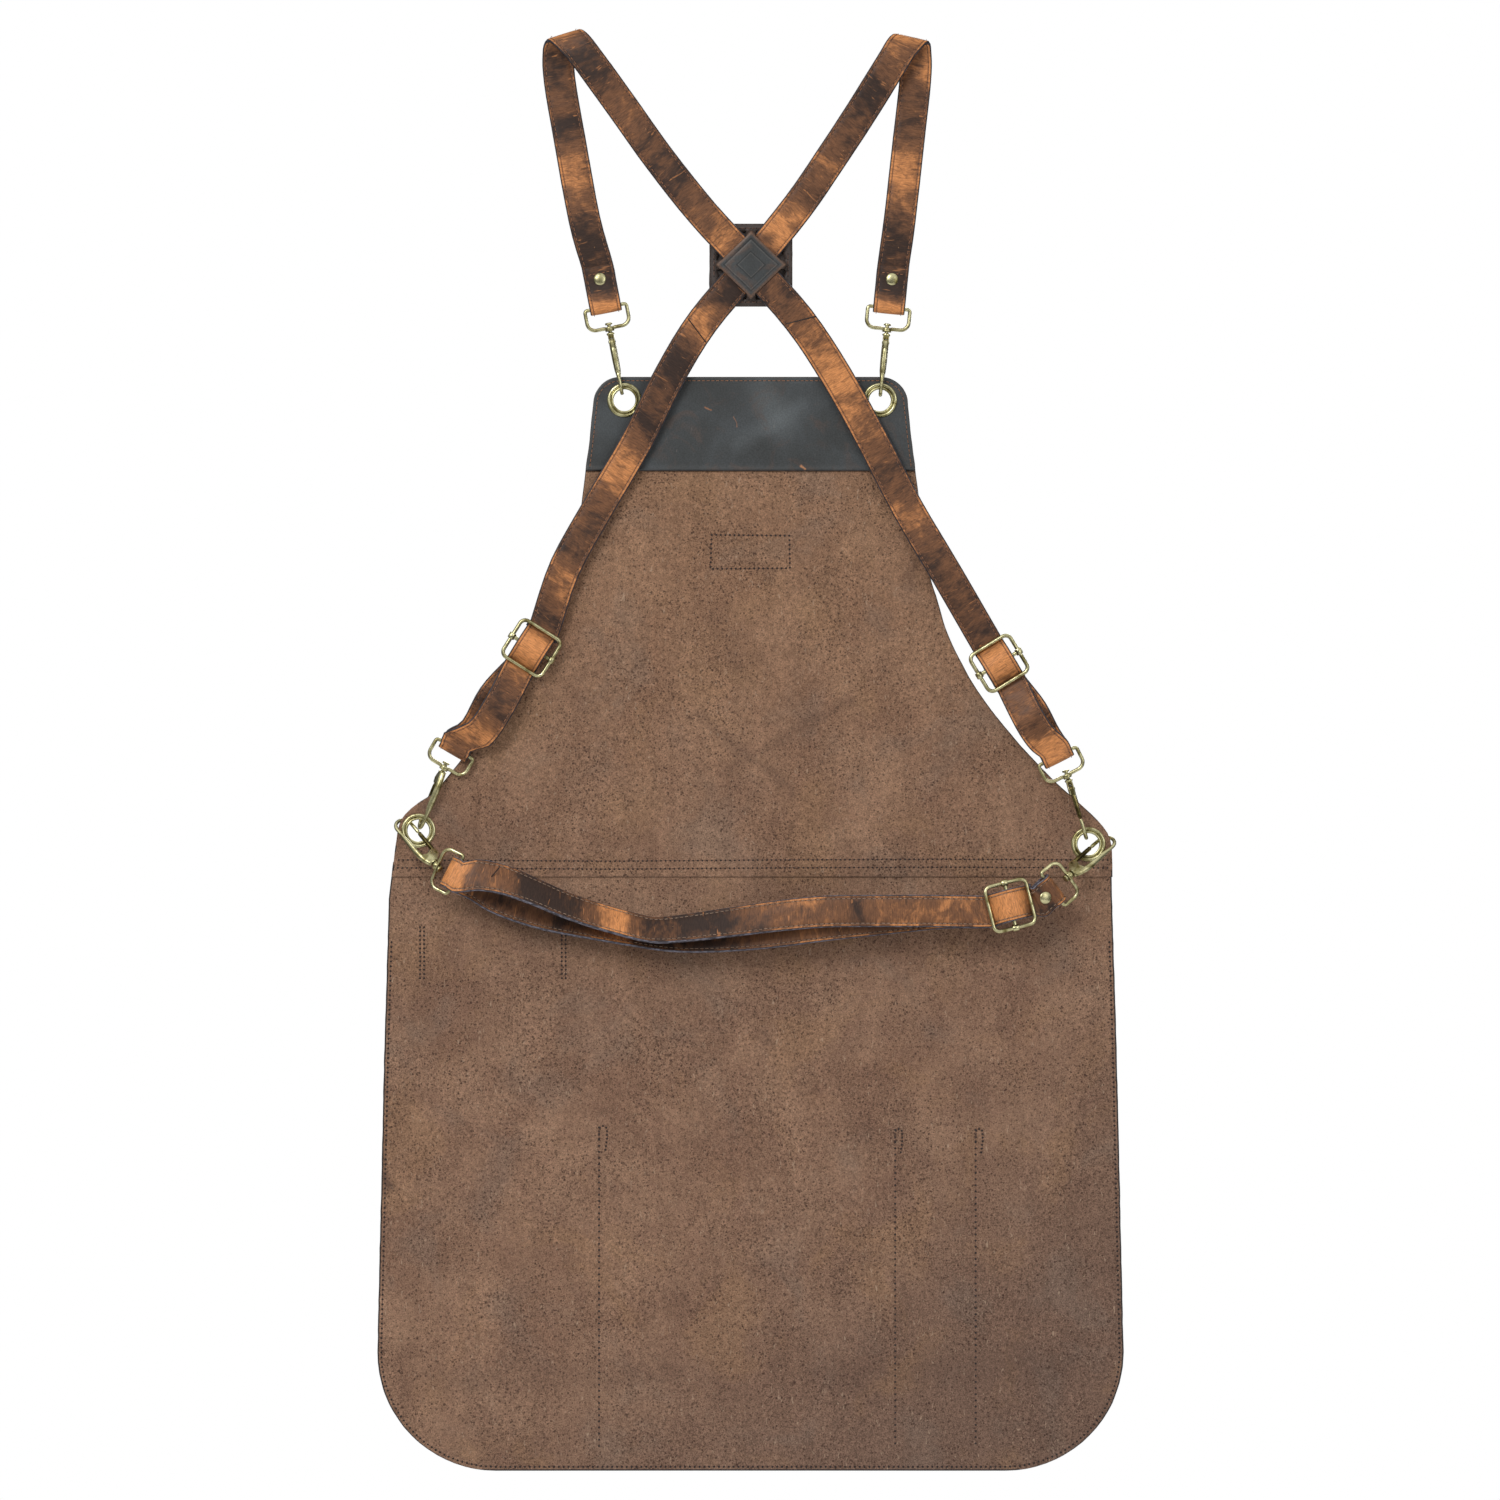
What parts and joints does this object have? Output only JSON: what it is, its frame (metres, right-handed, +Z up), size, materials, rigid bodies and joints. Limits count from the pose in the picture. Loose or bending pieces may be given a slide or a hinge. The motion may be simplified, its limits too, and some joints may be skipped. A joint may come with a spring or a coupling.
{
  "type": "welding apron",
  "caption": "Cross-back leather welding apron: bib, skirt with pockets and tool loop, and stitched straps held by swivel snap hooks in grommets, with slider buckles.",
  "frame": {"origin": "midway between the tops of the two shoulder loops, where the apron hangs", "axes": "+X to the viewer's right seen from the inside, +Y out of the grain face with the pockets, +Z up"},
  "size_m": [0.6, 0.0643, 1.16],
  "materials": {
    "suede_leather": "brown split suede, soft nap with fine fibres, blotchy tone, thin dark cut edges",
    "grain_leather": "waxed pull-up grain leather, mid brown, lighter where it bends",
    "strap_leather": "two-ply waxed pull-up leather, patchy tan, orange and dark brown, tan stitching, dark burnished edges",
    "dark_leather": "charcoal oiled leather, brown where worn, fine scratches",
    "antique_brass": "antique brass plate, pale highlights and dark recesses",
    "spring_steel": "plain spring steel"
  },
  "bodies": {
    "root": {"bib_panel": "suede_leather", "skirt_panel": "suede_leather", "pocket_panel": "grain_leather", "tool_loop": "grain_leather", "chest_label": "grain_leather", "shoulder_strap_left": "strap_leather", "shoulder_strap_right": "strap_leather", "waist_strap": "strap_leather", "bib_facing": "dark_leather", "patch_front": "dark_leather", "patch_back": "dark_leather", "rivet_bib_left": "antique_brass", "rivet_bib_right": "antique_brass", "rivet_waist": "antique_brass", "grommet_bib_left": "antique_brass", "grommet_bib_right": "antique_brass", "grommet_waist_left": "antique_brass", "grommet_waist_right": "antique_brass", "grommet_washer_bib_left": "antique_brass", "grommet_washer_bib_right": "antique_brass", "grommet_washer_waist_left": "antique_brass", "grommet_washer_waist_right": "antique_brass", "slider_frame_shoulder_left": "antique_brass", "slider_frame_shoulder_right": "antique_brass", "slider_frame_waist": "antique_brass", "slider_bar_shoulder_left": "antique_brass", "slider_bar_shoulder_right": "antique_brass", "slider_bar_waist": "antique_brass", "hook_eye_bib_left": "antique_brass", "hook_eye_bib_right": "antique_brass", "hook_eye_waist_left_upper": "antique_brass", "hook_eye_waist_right_upper": "antique_brass", "hook_eye_waist_left_lower": "antique_brass", "hook_eye_waist_right_lower": "antique_brass"},
    "hook_bib_left": {"hook_body_bib_left": "antique_brass", "gate_pin_bib_left": "antique_brass", "gate_spring_bib_left": "spring_steel"},
    "gate_bib_left": {"hook_gate_bib_left": "antique_brass"},
    "hook_bib_right": {"hook_body_bib_right": "antique_brass", "gate_pin_bib_right": "antique_brass", "gate_spring_bib_right": "spring_steel"},
    "gate_bib_right": {"hook_gate_bib_right": "antique_brass"},
    "hook_waist_left_upper": {"hook_body_waist_left_upper": "antique_brass", "gate_pin_waist_left_upper": "antique_brass", "gate_spring_waist_left_upper": "spring_steel"},
    "gate_waist_left_upper": {"hook_gate_waist_left_upper": "antique_brass"},
    "hook_waist_right_upper": {"hook_body_waist_right_upper": "antique_brass", "gate_pin_waist_right_upper": "antique_brass", "gate_spring_waist_right_upper": "spring_steel"},
    "gate_waist_right_upper": {"hook_gate_waist_right_upper": "antique_brass"},
    "hook_waist_left_lower": {"hook_body_waist_left_lower": "antique_brass", "gate_pin_waist_left_lower": "antique_brass", "gate_spring_waist_left_lower": "spring_steel"},
    "gate_waist_left_lower": {"hook_gate_waist_left_lower": "antique_brass"},
    "hook_waist_right_lower": {"hook_body_waist_right_lower": "antique_brass", "gate_pin_waist_right_lower": "antique_brass", "gate_spring_waist_right_lower": "spring_steel"},
    "gate_waist_right_lower": {"hook_gate_waist_right_lower": "antique_brass"}
  },
  "joints": [
    {"name": "swivel_bib_left", "type": "hinge", "parent": "root", "child": "hook_bib_left", "pos_m": [-0.1132, -0.0018, -0.2383], "axis": [0.1903, 0, -0.9817], "range_deg": [-18, 28]},
    {"name": "gate_hinge_bib_left", "type": "hinge", "parent": "hook_bib_left", "child": "gate_bib_left", "pos_m": [-0.1112, -0.0078, -0.24861], "axis": [0.9817, 0, 0.1903], "range_deg": [0, 23], "stiffness_Nm_per_rad": 0.05, "springref_deg": -5.73},
    {"name": "swivel_bib_right", "type": "hinge", "parent": "root", "child": "hook_bib_right", "pos_m": [0.1096, -0.0018, -0.239], "axis": [-0.1, 0, -0.995], "range_deg": [-32, 32]},
    {"name": "gate_hinge_bib_right", "type": "hinge", "parent": "hook_bib_right", "child": "gate_bib_right", "pos_m": [0.10855, -0.0078, -0.24945], "axis": [0.995, 0, -0.1], "range_deg": [0, 23], "stiffness_Nm_per_rad": 0.05, "springref_deg": -5.73},
    {"name": "swivel_waist_left_upper", "type": "hinge", "parent": "root", "child": "hook_waist_left_upper", "pos_m": [-0.2462, -0.0066, -0.591], "axis": [-0.3799, 0.15, -0.9128], "range_deg": [-28, 9]},
    {"name": "gate_hinge_waist_left_upper", "type": "hinge", "parent": "hook_waist_left_upper", "child": "gate_waist_left_upper", "pos_m": [-0.25107, 0.00076, -0.59927], "axis": [-0.9133, -0.2171, 0.3445], "range_deg": [0, 8], "stiffness_Nm_per_rad": 0.05, "springref_deg": -5.73},
    {"name": "swivel_waist_right_upper", "type": "hinge", "parent": "root", "child": "hook_waist_right_upper", "pos_m": [0.2545, -0.0066, -0.5975], "axis": [0.2949, 0.085, -0.9517], "range_deg": [-1.5, 23]},
    {"name": "gate_hinge_waist_right_upper", "type": "hinge", "parent": "hook_waist_right_upper", "child": "gate_waist_right_upper", "pos_m": [0.25775, -0.01169, -0.60798], "axis": [0.9552, 0, 0.296], "range_deg": [0, 17], "stiffness_Nm_per_rad": 0.05, "springref_deg": -5.73},
    {"name": "swivel_waist_left_lower", "type": "hinge", "parent": "root", "child": "hook_waist_left_lower", "pos_m": [-0.2519, -0.0211, -0.6692], "axis": [-0.5803, 0.4432, 0.6833], "range_deg": [-4.5, 0.8]},
    {"name": "gate_hinge_waist_left_lower", "type": "hinge", "parent": "hook_waist_left_lower", "child": "gate_waist_left_lower", "pos_m": [-0.25329, -0.01324, -0.66011], "axis": [0.2235, -0.7201, 0.6569], "range_deg": [0, 23], "stiffness_Nm_per_rad": 0.05, "springref_deg": -5.73},
    {"name": "swivel_waist_right_lower", "type": "hinge", "parent": "root", "child": "hook_waist_right_lower", "pos_m": [0.2557, -0.0225, -0.6772], "axis": [0.6612, 0.4911, 0.5671], "range_deg": [-2.5, 7.5]},
    {"name": "gate_hinge_waist_right_lower", "type": "hinge", "parent": "hook_waist_right_lower", "child": "gate_waist_right_lower", "pos_m": [0.25823, -0.01388, -0.6691], "axis": [0.1519, 0.6527, -0.7422], "range_deg": [0, 23], "stiffness_Nm_per_rad": 0.05, "springref_deg": -5.73}
  ]
}
